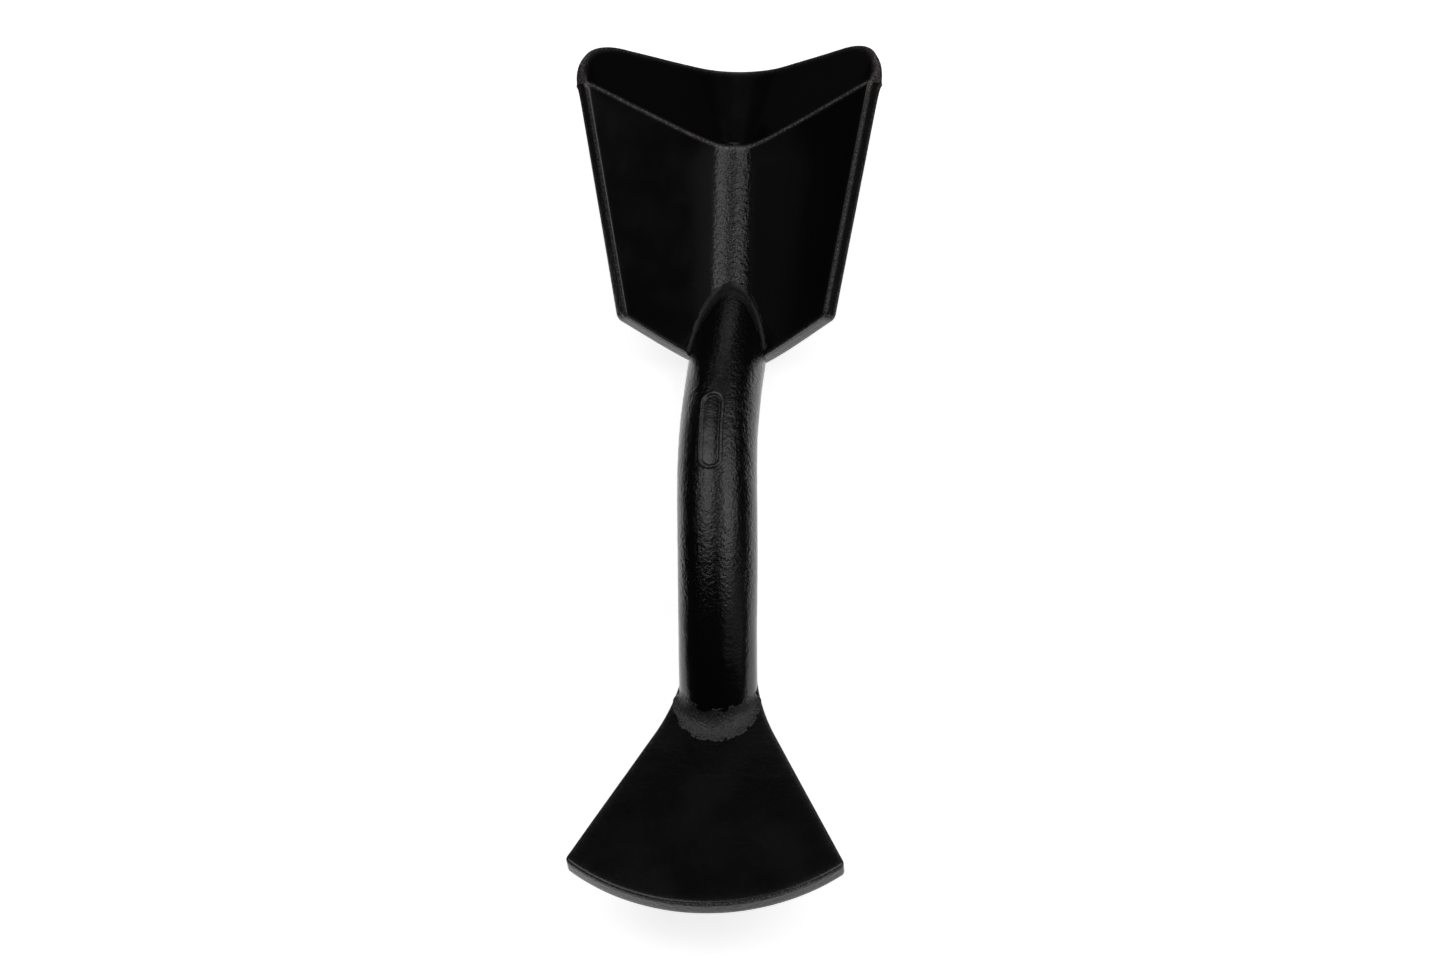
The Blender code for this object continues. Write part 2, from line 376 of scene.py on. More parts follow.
@dataclass(frozen=True)
class LacquerFinish:
    """Black lacquer over rough steel.

    Attributes:
        name: The material's name.
        colour: Base colour.
        speck_and_highlight_colour: Pale colour laid along the edges: dust and wear in the specks, and a
            painted highlight line between them.
        roughness: Roughness where it is smoothest and where it is dullest.
        grain_depth: Height of the fine grain that shows in a highlight.
        grain_size: Size of the fine grain.
        roll_depth: Height of the slower roll under it.
        roll_size: Size of the slower roll.
        specks: Share of edge length that carries pale specks.
        highlight_between_specks: How pale an edge is painted between its specks, from 0 to 1, as a painted
            highlight line.
        scratches: How much duller the fine lengthwise scratches are.
        specular: Strength of the sheen.
        speck_size: Size of the pale specks.
        cloud_size: Size of the duller clouds.
        scratch_size: Width of the scratches.
        scratch_stretch: Their width over their length.
        pit_share: Depth of the pits over the grain's.
        worn_dulling: How much duller the pale specks are.
    """

    name: str
    colour: tuple[float, float, float] = (0.0032, 0.0029, 0.0032)
    speck_and_highlight_colour: tuple[float, float, float] = (0.26, 0.245, 0.235)
    roughness: tuple[float, float] = (0.15, 0.20)
    grain_depth: float = 0.27 * MM
    grain_size: float = 0.95 * MM
    roll_depth: float = 0.06 * MM
    roll_size: float = 2.2 * MM
    specks: float = 0.46
    highlight_between_specks: float = 0.30
    scratches: float = 0.08
    specular: float = 0.5
    speck_size: float = 0.45 * MM
    cloud_size: float = 14 * MM
    scratch_size: float = 0.7 * MM
    scratch_stretch: float = 0.06
    pit_share: float = 0.3
    worn_dulling: float = 0.25

    def material(self) -> bpy.types.Material:
        """Build the finish as a material.

        Returns:
            The material, named after the finish.
        """
        material = bpy.data.materials.new(self.name)
        material.use_nodes = True
        sheet = NodeSheet(material.node_tree)
        place = sheet.add("TexCoord").outputs["Object"]
        edge = sheet.add("Attribute", attribute_name="edge").outputs["Fac"]
        coarse = sheet.add("Attribute", attribute_name="grain").outputs["Fac"]
        roll = sheet.add("TexNoise", Vector=place, Scale=1.0 / self.roll_size, Detail=2.0)
        grain = sheet.add("TexNoise", Vector=place, Scale=1.0 / self.grain_size, Detail=3.0,
                          Roughness=0.6)
        pits = sheet.add("TexVoronoi", Vector=place, Scale=1.0 / (1.7 * self.grain_size))
        speck = sheet.add("TexNoise", Vector=place, Scale=1.0 / self.speck_size, Detail=1.0)
        cloud = sheet.add("TexNoise", Vector=place, Scale=1.0 / self.cloud_size, Detail=4.0)
        scratch_place = sheet.add("Mapping", Vector=place, Scale=(1.0, self.scratch_stretch, 1.0))
        scratch = sheet.add("TexNoise", Vector=scratch_place.outputs[0],
                            Scale=1.0 / self.scratch_size, Detail=1.0)

        # Pale edge tone: wear specks at full strength, and between them a painted highlight line along the
        # edges, rim, crease and badge border.
        cut = 1.0 - self.specks
        specks_and_highlight = sheet.ramp(speck.outputs["Fac"], cut - 0.12, cut + 0.12, self.highlight_between_specks, 1.0)
        pale_specks_and_highlight = sheet.math("MULTIPLY", edge, specks_and_highlight)
        tone = sheet.add("Mix", data_type="RGBA")
        sheet.feed(tone.inputs[0], sheet.math("MULTIPLY", pale_specks_and_highlight, 0.8))
        sheet.feed(tone.inputs[6], (*self.colour, 1.0))
        sheet.feed(tone.inputs[7], (*self.speck_and_highlight_colour, 1.0))

        low, high = self.roughness
        dull = sheet.ramp(cloud.outputs["Fac"], 0.32, 0.68, low, high)
        dull = sheet.math("ADD", dull, sheet.math("MULTIPLY", pale_specks_and_highlight, self.worn_dulling))
        dull = sheet.math("ADD", dull, sheet.ramp(scratch.outputs["Fac"], 0.62, 0.72, 0.0, self.scratches))

        roll_height = sheet.math("MULTIPLY", roll.outputs["Fac"], coarse)
        first = sheet.add("Bump", Height=roll_height, Distance=self.roll_depth)
        grain_height = sheet.math("MULTIPLY", grain.outputs["Fac"], coarse)
        pit_height = sheet.math("MULTIPLY", pits.outputs["Distance"], coarse)
        second = sheet.add("Bump", Height=grain_height, Distance=self.grain_depth,
                           Normal=first.outputs[0])
        third = sheet.add("Bump", Height=pit_height, Distance=self.grain_depth * self.pit_share,
                          Normal=second.outputs[0])
        shader = sheet.add("BsdfPrincipled", Metallic=0.0, IOR=1.5, Specular_IOR_Level=self.specular)
        sheet.feed(shader.inputs["Base Color"], tone.outputs[2])
        sheet.feed(shader.inputs["Roughness"], dull)
        sheet.feed(shader.inputs["Normal"], third.outputs[0])
        output = sheet.add("OutputMaterial")
        sheet.feed(output.inputs["Surface"], shader.outputs[0])
        return material


# ---- shapes that more than one piece is built from ----


@dataclass(frozen=True)
class Bow:
    """The bent bar's axis and radius, and where its two heels stand.

    Attributes:
        radius: Radius of the bow's axis.
        bar: Radius of the bar at its heels.
        swell: How much thicker its radius is at the crest.
        heel_start: Where the bar's underside meets the bench, from the crest along Y.
        heel_end: Where each blade begins, from the crest along Y.
        origin: Where the crest stands along Y.
        sway: How far the bar leans sideways where it leans most.
        sway_middle: The angle along the bow where it leans most.
        sway_spread: The angle over which the lean fades.
    """

    radius: float = 100.0 * MM
    bar: float = 11.0 * MM
    swell: float = 0.3 * MM
    heel_start: float = 39.0 * MM
    heel_end: float = 46.0 * MM
    origin: float = 0.0
    sway: float = -1.3 * MM
    sway_middle: float = 0.21
    sway_spread: float = 0.27

    @property
    def centre_z(self) -> float:
        """Height of the bow's centre."""
        return -math.sqrt((self.radius - self.bar) ** 2 - self.heel_start**2)

    def bar_radius(self, turn: Array) -> Array:
        """Give the bar's radius at an angle along the bow."""
        share = np.minimum(1.0, np.abs(self.radius * np.sin(turn)) / self.heel_end)
        return self.bar + self.swell * np.cos(share * math.pi / 2) ** 2

    def point(self, turn: Array, around: Array, radius: Array) -> Array:
        """Find points at a radius from the bar's axis.

        Args:
            turn: Angles along the bow from its crest towards +Y.
            around: Angles about the bar's own axis from its crown towards +X.
            radius: Distances from the axis.

        Returns:
            The points.
        """
        reach = self.radius + radius * np.cos(around)
        lean = np.exp(-(((turn - self.sway_middle) / self.sway_spread) ** 2))
        x = radius * np.sin(around) + self.sway * lean
        y = self.origin + reach * np.sin(turn)
        z = self.centre_z + reach * np.cos(turn)
        return np.stack(np.broadcast_arrays(x, y, z), axis=-1)


@dataclass(frozen=True)
class BladeShape(ABC):
    """A blade in its own frame: Y along it from the heel, Z up from its back, X across."""

    bow: Bow
    end: End
    rise: float
    thick: float

    @property
    def frame(self) -> Array:
        """Place the blade's own frame in the tool.

        Returns:
            A matrix of four rows, which turns the frame's points into the tool's.
        """
        turn = Matrix.Rotation(0.0 if self.end is End.TROUGH else math.pi, 4, "Z")
        place = Matrix.Translation((0.0, self.bow.origin + self.end.value * self.bow.heel_end, 0.0))
        return np.array(place @ turn @ Matrix.Rotation(self.rise, 4, "X"))

    def to_tool(self, points: Array) -> Array:
        """Move points from the blade's frame to the tool's."""
        return points @ self.frame[:3, :3].T + self.frame[:3, 3]

    def to_blade(self, points: Array) -> Array:
        """Move points from the tool's frame to the blade's."""
        return (points - self.frame[:3, 3]) @ self.frame[:3, :3]

    @abstractmethod
    def height_over(self, points: Array) -> Array:
        """Measure the height of points over the blade's upper face."""

    @abstractmethod
    def back_height(self, points: Array) -> Array:
        """Give the height of the blade's back at the place of each point, in the tool's frame."""

    def meet(self, around: Array, radius: Array, height: Array) -> Array:
        """Follow the bar's surface down towards the blade.

        Args:
            around: Angles about the bar.
            radius: Distances from the bar's axis.
            height: Heights over the blade's face to stop at.

        Returns:
            The angle along the bow of each stop.
        """
        near = np.zeros(np.broadcast(around, radius, height).shape)
        far = np.full_like(near, math.asin(0.95))
        for _ in range(SEARCH_STEPS):
            middle = (near + far) / 2
            points = self.bow.point(self.end.value * middle, around, radius)
            above = self.height_over(points) > height
            near = np.where(above, middle, near)
            far = np.where(above, far, middle)
        return self.end.value * near


@dataclass(frozen=True)
class TroughShape(BladeShape):
    """The trough blade's faces and outline."""

    wing_tilt: float = math.radians(37.0)
    valley_radius: float = 9.0 * MM
    root_half_width: float = 28.2 * MM
    tip_half_width: float = 40.5 * MM
    root_corner: float = 10.6 * MM
    tip_corner: float = 77.1 * MM
    root_round: float = 7.5 * MM
    grind_middle: float = 65.5 * MM
    grind_round: float = 4.0 * MM
    bend: float = math.radians(21.5)
    notch: float = 92.2 * MM
    lobe: float = 92.2 * MM
    lobe_place: float = 0.62
    rim_thick: float = 1.4 * MM
    shoulder: float = 0.3 * MM

    def valley(self, across: Array) -> Array:
        """Give the inner face's height over its lowest line.

        Args:
            across: Distances from the middle.

        Returns:
            The heights: a round bowl between two straight wings.
        """
        flank = self.valley_radius * math.sin(self.wing_tilt)
        inside = np.minimum(np.abs(across), flank)
        bowl = self.valley_radius - np.sqrt(self.valley_radius**2 - inside**2)
        return bowl + (np.abs(across) - inside) * math.tan(self.wing_tilt)

    def tilt(self, across: Array) -> Array:
        """Give the inner face's slope angle, positive towards +X."""
        flank = self.valley_radius * math.sin(self.wing_tilt)
        return np.arcsin(np.clip(across / flank, -1.0, 1.0) * math.sin(self.wing_tilt))

    def half_width(self, along: Array) -> Array:
        """Give half the inner face's width, at a distance along the keel."""
        share = (along - self.root_corner) / (self.tip_corner - self.root_corner)
        return self.root_half_width + share * (self.tip_half_width - self.root_half_width)

    def root(self, share: Array) -> Array:
        """Give the root edge's place along the keel, at a share of the half width."""
        slope = math.sqrt((self.root_corner + self.root_round) ** 2 - self.root_round**2)
        return soft_vee(share, slope, self.root_round)

    def grind(self, share: Array) -> Array:
        """Give the place along the keel where the grind begins.

        Args:
            share: Places across the face, as shares of its half width.

        Returns:
            The distances along the keel.
        """
        drop = self.tip_corner - self.grind_middle
        slope = math.sqrt((drop + self.grind_round) ** 2 - self.grind_round**2)
        return self.grind_middle + soft_vee(share, slope, self.grind_round)

    def rim(self, share: Array) -> Array:
        """Give the rim's place along the keel: a notch between two round lobes.

        Args:
            share: Places across the face, as shares of its half width.

        Returns:
            The distances along the keel.
        """
        share = np.abs(share)
        wave = (1 - np.cos(math.pi * np.minimum(share / self.lobe_place, 1.0))) / 2
        inner = self.notch + (self.lobe - self.notch) * wave
        fall = np.clip((share - self.lobe_place) / (1 - self.lobe_place), 0.0, 1.0)
        corner = self.tip_corner + self.shoulder
        outer = corner + (self.lobe - corner) * np.sqrt(1 - fall**2)
        return np.where(share < self.lobe_place, inner, outer)

    def fall(self, run: Array) -> Array:
        """Give how far the ground part falls below the face, over its run to the rim."""
        return np.maximum(self.thick - self.rim_thick, run * math.tan(self.bend))

    def point(self, share: Array, along: Array, lift: Array) -> Array:
        """Find points at a lift from the inner face, square to it.

        Args:
            share: Places across the face, as shares of its half width.
            along: Distances along the keel.
            lift: Heights over the face.

        Returns:
            The points, in the tool's frame.
        """
        across = share * self.half_width(along)
        tilt = self.tilt(across)
        height = self.thick + self.valley(across) + lift * np.cos(tilt)
        x = across - lift * np.sin(tilt)
        return self.to_tool(np.stack(np.broadcast_arrays(x, along, height), axis=-1))

    def height_over(self, points: Array) -> Array:
        """Measure the height of points over the inner face.

        Args:
            points: Points in the tool's frame.

        Returns:
            The heights, square to the face.
        """
        local = self.to_blade(points)
        over = local[..., 2] - self.thick - self.valley(local[..., 0])
        return over * np.cos(self.tilt(local[..., 0]))

    def back_height(self, points: Array) -> Array:
        """Give the height of the keel's round back at the place of each point.

        Args:
            points: Points in the tool's frame.

        Returns:
            The heights over the bench, fading to none outside the blade.
        """
        outer = self.valley_radius + self.thick
        across = np.clip(points[..., 0], -outer, outer)
        bowl = outer - np.sqrt(outer**2 - across**2)
        out = points[..., 1] - self.bow.origin - self.bow.heel_end
        behind = self.root(across / self.root_half_width) - out
        shown = np.clip(1.0 - behind / (1.6 * MM), 0.0, 1.0)
        return (out * math.tan(self.rise) + bowl / math.cos(self.rise)) * shown**2 * (3 - 2 * shown)


@dataclass(frozen=True)
class FanShape(BladeShape):
    """The fan blade's outline."""

    root_half_width: float = 6.6 * MM
    setback: float = 1.5 * MM
    corner: float = 62.9 * MM
    corner_half_width: float = 38.3 * MM
    reach: float = 76.4 * MM
    neck: float = 10.2 * MM
    neck_fillet: float = 7.0 * MM

    @property
    def arc(self) -> tuple[float, float]:
        """Give the round edge's arc.

        Returns:
            Its radius and half the angle it spans.
        """
        sagitta = self.reach - self.corner
        radius = (self.corner_half_width**2 + sagitta**2) / (2 * sagitta)
        return radius, math.asin(self.corner_half_width / radius)

    def outline(self, share: Array, part: Array) -> tuple[Array, Array]:
        """Find places on the plate.

        Args:
            share: From -1 to 1 across it.
            part: From 0 at its root to 1 at its round edge.

        Returns:
            Distances across and along it.
        """
        radius, half_angle = self.arc
        edge_x = radius * np.sin(half_angle * share)
        edge_y = self.reach - radius + radius * np.cos(half_angle * share)
        root_x = share * self.root_half_width
        x = root_x + (edge_x - root_x) * part
        y = self.setback + (edge_y - self.setback) * part
        line = self.side_line(y)
        wider = smooth_max(line, np.full_like(line, self.neck), self.neck_fillet)
        return x * wider / line, y

    def side_line(self, along: Array) -> Array:
        """Give half the width between the straight sides."""
        share = (along - self.setback) / (self.corner - self.setback)
        return self.root_half_width + share * (self.corner_half_width - self.root_half_width)

    def height_over(self, points: Array) -> Array:
        """Measure the height of points over the face."""
        return self.to_blade(points)[..., 2] - self.thick

    def back_height(self, points: Array) -> Array:
        """Give the height of the flat back under each point."""
        out = self.bow.origin - self.bow.heel_end - points[..., 1]
        return out * math.tan(self.rise)


# ---- pieces ----


@dataclass
class ToolPiece(ABC):
    """One sub-assembly of the tool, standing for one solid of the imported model."""

    node: str
    slot: Slot
    finish: LacquerFinish
    waves: tuple[Wave, ...]

    @abstractmethod
    def skin(self) -> Skin:
        """Shape the piece."""

    def build(self) -> bpy.types.Object:
        """Make the piece's mesh, with the unevenness of its surface.

        Returns:
            The object, without a finish.
        """
        piece = self.skin().to_object(f"{self.node}_skin")
        roughen(piece, self.waves)
        return piece

    def dress(self, piece: bpy.types.Object) -> None:
        """Give the piece its finish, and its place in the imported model.

        Args:
            piece: The object to dress.
        """
        piece.data.materials.append(self.finish.material())
        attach(piece, "root")
        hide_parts(self.node)


@dataclass
class GripBar(ToolPiece):
    """The bowed bar, flat under both heels, with a blank badge on its crown.

    Attributes:
        bow: The bar's axis and radius.
        trough: The blade at one end.
        fan: The blade at the other.
        badge_length: Length of the badge over its border.
        badge_width: Its width over its border.
        badge_border: Width of its border.
        badge_height: Height of its border.
        badge_sink: How far the field inside sinks below the bar.
        badge_centre: Its middle, from the crest along the crown.
        badge_lean: Its middle, as an angle about the bar.
        fillet: Rounding where the bar meets the bench.
        bury: How far the bar's ends go below the blades' faces.
        coarse: Spacing of the mesh.
        fine: Spacing of the mesh at the badge.
        smooth_from: The angle along the bow past which the bar is smooth.
        smooth_to: The angle where it starts to be smoother.
    """

    bow: Bow
    trough: TroughShape
    fan: FanShape
    badge_length: float = 25.0 * MM
    badge_width: float = 7.2 * MM
    badge_border: float = 1.5 * MM
    badge_height: float = 0.42 * MM
    badge_sink: float = 0.10 * MM
    badge_centre: float = 20.0 * MM
    badge_lean: float = math.radians(-5.0)
    fillet: float = 1.2 * MM
    bury: float = 2.2 * MM
    coarse: float = 0.8 * MM
    fine: float = 0.24 * MM
    smooth_from: float = math.radians(-24.0)
    smooth_to: float = math.radians(-14.0)

    def stations(self) -> Array:
        """Space the rings along the bow, closer together under the badge.

        Returns:
            Their angles along the bow.
        """
        crown = self.bow.radius + self.bow.bar
        zero, deep = np.zeros(1), np.full(1, -self.bury)
        full = np.full(1, self.bow.bar)
        start = float(self.fan.meet(zero, full, deep)[0])
        stop = float(self.trough.meet(zero, full, deep)[0])
        low = (self.badge_centre - self.badge_length / 2 - 1 * MM) / crown
        high = (self.badge_centre + self.badge_length / 2 + 1 * MM) / crown
        parts = ((start, low, self.coarse), (low, high, self.fine), (high, stop, self.coarse))
        runs = [np.linspace(a, b, int((b - a) * crown / step) + 1)[:-1] for a, b, step in parts]
        return np.concatenate([*runs, [stop]])

    def sides(self) -> Array:
        """Space the points round the bar, closer together across the badge.

        Returns:
            Their angles about the bar's axis.
        """
        half = (self.badge_width / 2 + 1 * MM) / self.bow.bar
        low, high = self.badge_lean - half, self.badge_lean + half
        near = np.linspace(low, high, int((high - low) * self.bow.bar / self.fine) + 1)
        rest = 2 * math.pi - (high - low)
        far = high + np.linspace(0.0, rest, int(rest * self.bow.bar / self.coarse) + 1)[1:-1]
        return np.concatenate([near, far])

    def badge_lift(self, turn: Array, around: Array) -> Array:
        """Give the height of the badge's border and field over the bar.

        Args:
            turn: Angles along the bow.
            around: Angles about the bar's axis.

        Returns:
            The heights, and nothing outside the badge.
        """
        along = np.abs((self.bow.radius + self.bow.bar) * turn - self.badge_centre)
        across = (around - self.badge_lean) * self.bow.bar
        across = np.where(across > math.pi * self.bow.bar, across - 2 * math.pi * self.bow.bar, across)
        straight = (self.badge_length - self.badge_width) / 2
        out = np.hypot(np.maximum(along - straight, 0.0), across)
        middle = (self.badge_width - self.badge_border) / 2
        near = np.clip(1.0 - np.abs(out - middle) / (self.badge_border / 2), 0.0, 1.0)
        ridge = self.badge_height * np.minimum(1.0, 1.35 * np.sin(near * math.pi / 2) ** 2)
        inside = np.clip((middle - out) / (0.5 * MM), 0.0, 1.0)
        return ridge - self.badge_sink * inside * (1 - near)

    def skin(self) -> Skin:
        """Sweep the bar and flatten what would pass through the bench or the blades' backs.

        Returns:
            The bar's skin.
        """
        turn, around = np.meshgrid(self.stations(), self.sides(), indexing="ij")
        lift = self.badge_lift(turn, around)
        rings = self.bow.point(turn, around, self.bow.bar_radius(turn) + lift)
        floor = np.zeros(turn.shape)
        sunk = 0.15 * MM
        for blade in (self.trough, self.fan):
            floor = np.maximum(floor, blade.back_height(rings) + sunk)
        floor = np.where(np.abs(rings[..., 1] - self.bow.origin) < self.bow.heel_end, 0.0, floor)
        rings[..., 2] = smooth_max(rings[..., 2], floor, self.fillet)
        # The badge's raised border is painted pale: a painted highlight, with wear specks.
        edge = np.clip(lift / self.badge_height, 0.0, 1.0) * 0.36
        low, high = self.smooth_from, self.smooth_to
        fading = np.clip((turn - high) / (low - high), 0.0, 1.0)
        grain = 1.0 - 0.7 * fading - 0.45 * np.clip(np.abs(lift) / (0.08 * MM), 0.0, 1.0) * (1 - fading)
        return Skin.tube(rings, edge, grain)


@dataclass
class TroughBlade(ToolPiece):
    """The V-shaped trough blade, ground down inside its lobed rim.

    Attributes:
        shape: The blade's faces and outline.
        face_edge: Rounding of the inner face's edges.
        back_edge: Rounding of the back's edges.
        crease: Rounding of the line where the ground part bends down.
        plan_round: Rounding of the corners beside the root.
        rough_half_width: Half the width of the rough band in the valley.
        smooth: How rough the wings are beside it, from 0 to 1.
        girth: Half the distance that the columns are spaced over.
        columns: Columns in each half.
        face_rows: Rows on the face, apart from those near its borders.
        slope_rows: Rows on the ground part, apart from those near its borders.
        wear_and_highlight: How worn the edges are, from 0 to 1.
        wear_and_highlight_side: How far in the wear reaches from the sides and the root.
        wear_and_highlight_rim: How far in it reaches from the rim.
        crease_highlight_reach: How far it reaches from the bend.
        rough_end: How far past the bend the rough band fades out.
    """

    shape: TroughShape
    face_edge: float = 0.65 * MM
    back_edge: float = 1.1 * MM
    crease: float = 1.1 * MM
    plan_round: float = 1.3 * MM
    rough_half_width: float = 5.3 * MM
    smooth: float = 0.04
    girth: float = 43.0 * MM
    columns: int = 64
    face_rows: int = 64
    slope_rows: int = 24
    # wear_and_highlight: How pale the edges are painted, from 0 to 1: wear specks and a painted highlight
    # line. wear_and_highlight_side: How far in that pale tone reaches from the sides and the root.
    # wear_and_highlight_rim: How far in it reaches from the rim, where it paints the rim's highlight line.
    # crease_highlight_reach: How far the painted highlight along the bend reaches from it.
    wear_and_highlight: float = 0.7
    wear_and_highlight_side: float = 0.32 * MM
    wear_and_highlight_rim: float = 0.9 * MM
    crease_highlight_reach: float = 0.55 * MM
    rough_end: float = 2.0 * MM

    def shares(self) -> Array:
        """Space the columns across the blade, closer together at its sides.

        Returns:
            Their places, as shares of its half width.
        """
        close = (*EDGE_STEPS, 2.2 * MM)
        width = np.array([2 * self.girth])
        run = crowded(width, close, tuple(reversed(close)), 2 * self.columns)[0]
        return run / self.girth - 1.0

    def skin(self) -> Skin:
        """Shape the blade's two faces over one grid.

        Returns:
            The trough blade's skin.
        """
        share = self.shares()
        start, grind, rim = self.shape.root(share), self.shape.grind(share), self.shape.rim(share)
        outward, inward = tuple(reversed(EDGE_STEPS)), tuple(reversed(CREASE_STEPS))
        face = crowded(grind - start, EDGE_STEPS, CREASE_STEPS, self.face_rows)
        slope = crowded(rim - grind, (0.0, *inward), outward, self.slope_rows)
        along = np.concatenate([start[:, None] + face, grind[:, None] + slope], axis=1)
        grid = np.broadcast_to(share[:, None], along.shape)

        across = share * self.shape.root_half_width
        root_lean = np.hypot(1.0, np.gradient(start, across))[:, None]
        rim_lean = np.hypot(1.0, np.gradient(rim, share * self.shape.tip_half_width))[:, None]
        wing = self.shape.half_width(along) / math.cos(self.shape.wing_tilt)
        side = (1.0 - np.abs(grid)) * wing
        root = (along - start[:, None]) / root_lean
        end = (rim[:, None] - along) / rim_lean
        pull, push = round_corner(side, root, self.plan_round)
        inset = np.minimum(np.minimum(side, root), end)
        grid = grid - np.sign(grid) * pull / wing
        along = along + push

        run = np.maximum(rim - grind, 1e-6)[:, None]
        deep = self.shape.fall(run)
        past = along - grind[:, None]
        rounding = np.minimum(self.crease, 0.5 * run)
        fall = deep * (past + np.sqrt(past**2 + rounding**2)) / 2 / run
        thinner = (self.shape.thick - self.shape.rim_thick) * np.clip(past / run, 0.0, 1.0)
        local = self.shape.thick - thinner
        top_drop = edge_drop(inset, np.minimum(self.face_edge, 0.46 * local))
        back_drop = edge_drop(inset, np.minimum(self.back_edge, 0.46 * local))
        top = self.shape.point(grid, along, -fall - top_drop)
        back = self.shape.point(grid, along, -fall - local + back_drop)
        # Pale tone near the sides, root and rim: wear specks and a painted highlight line. Along the bend
        # it is only a painted highlight line.
        near_edge = np.exp(-np.minimum(side, root) / self.wear_and_highlight_side)
        near_edge = self.wear_and_highlight * np.maximum(near_edge, np.exp(-((end / self.wear_and_highlight_rim) ** 2)))
        crease_highlight = np.exp(-((past / self.crease_highlight_reach) ** 2))
        rough = np.exp(-((grid * self.shape.half_width(along) / self.rough_half_width) ** 6))
        rough = self.smooth + (1 - self.smooth) * rough * np.clip(1 - past / self.rough_end, 0.0, 1.0)
        return Skin.plate(top, back, np.maximum(near_edge, crease_highlight), rough)


@dataclass
class FanBlade(ToolPiece):
    """The fan-shaped blade with its round, square-cut edge."""

    shape: FanShape
    face_edge: float = 0.7 * MM
    back_edge: float = 0.9 * MM
    plan_round: float = 1.1 * MM
    smooth: float = 0.16
    wear_and_highlight: float = 0.65
    wear_and_highlight_side: float = 0.5 * MM
    columns: int = 40
    rows: int = 60

    def skin(self) -> Skin:
        """Shape the blade's two faces over one grid.

        Returns:
            The fan blade's skin.
        """
        outward = tuple(reversed(EDGE_STEPS))
        width = np.array([2 * self.shape.corner_half_width])
        share = crowded(width, EDGE_STEPS, outward, 2 * self.columns)[0]
        share = share / self.shape.corner_half_width - 1.0
        length = np.array([self.shape.reach])
        part = crowded(length, EDGE_STEPS, outward, self.rows)[0] / self.shape.reach
        grid, part = np.meshgrid(share, part, indexing="ij")
        x, y = self.shape.outline(grid, part)
        lean = math.cos(math.atan2(self.shape.corner_half_width, self.shape.corner))
        half_width, _ = self.shape.outline(np.ones_like(grid), part)
        side = (1.0 - np.abs(grid)) * half_width * lean
        _, edge_y = self.shape.outline(grid, np.ones_like(part))
        root, end = y - self.shape.setback, edge_y - y
        pull, push = round_corner(side, end, self.plan_round)
        inset = np.minimum(np.minimum(side, end), root)
        x = x - np.sign(grid) * pull / lean
        y = y - push
        top = self.shape.thick - edge_drop(inset, np.array(self.face_edge))
        back = edge_drop(inset, np.array(self.back_edge))
        upper = self.shape.to_tool(np.stack([x, y, top], axis=-1))
        lower = self.shape.to_tool(np.stack([x, y, back], axis=-1))
        # Pale tone along the edges: wear specks and a painted highlight line.
        near = self.wear_and_highlight * np.exp(-inset / self.wear_and_highlight_side)
        return Skin.plate(upper, lower, near, np.full(near.shape, self.smooth))


@dataclass
class WeldFillet(ToolPiece):
    """The fillet of weld in the corner between the bar and a blade's face."""

    blade: BladeShape
    leg: float
    span: float
    end_share: float = 0.35
    end_round: float = 0.06
    end_lump: float = 0.0
    lump_place: float = 0.07
    lump_spread: float = 0.04
    wear_and_highlight: float = 0.05
    root: float = 0.5 * MM
    stations: int = 110
    profile: int = 16

    def skin(self) -> Skin:
        """Loft the fillet, its hollow leaving both surfaces smoothly.

        Returns:
            The fillet's skin.
        """
        place = np.linspace(-1.0, 1.0, self.stations + 1)
        size = self.leg * (1 - (1 - self.end_share) * np.abs(place) ** 3)
        last = np.clip((np.abs(place) - 1 + self.end_round) / self.end_round, 0.0, 1.0)
        lump = np.exp(-(((1 - np.abs(place) - self.lump_place) / self.lump_spread) ** 2))
        size = (size + self.end_lump * lump) * np.sqrt(1 - 0.97 * last**2)
        around = self.span * place
        bar = self.blade.bow.bar
        corner = self.on_bar(around, np.full_like(size, bar), 0 * size)
        foot = self.on_bar(around, bar + size, 0 * size)
        toe = self.on_bar(around, np.full_like(size, bar), size)
        t = np.linspace(0.0, 1.0, self.profile)[None, :, None]
        curve = (1 - t) ** 2 * foot[:, None] + 2 * t * (1 - t) * corner[:, None] + t**2 * toe[:, None]
        depth = np.minimum(self.root, 0.8 * size)
        under_foot = self.on_bar(around, bar + size, -depth)
        inside = self.on_bar(around, bar - depth, -depth)
        under_toe = self.on_bar(around, bar - depth, size)
        hidden = np.stack([under_toe, inside, under_foot], axis=1)
        rings = np.concatenate([curve, hidden], axis=1)
        # The whole weld gets a faint pale tone: wear specks and a painted highlight.
        return Skin.tube(rings, np.full(rings.shape[:2], self.wear_and_highlight), np.ones(rings.shape[:2]))

    def on_bar(self, around: Array, radius: Array, height: Array) -> Array:
        """Find points at a radius from the bar's axis and a height over the blade's face."""
        turn = self.blade.meet(around, radius, height)
        return self.blade.bow.point(turn, around, radius)


# ---- studio ----


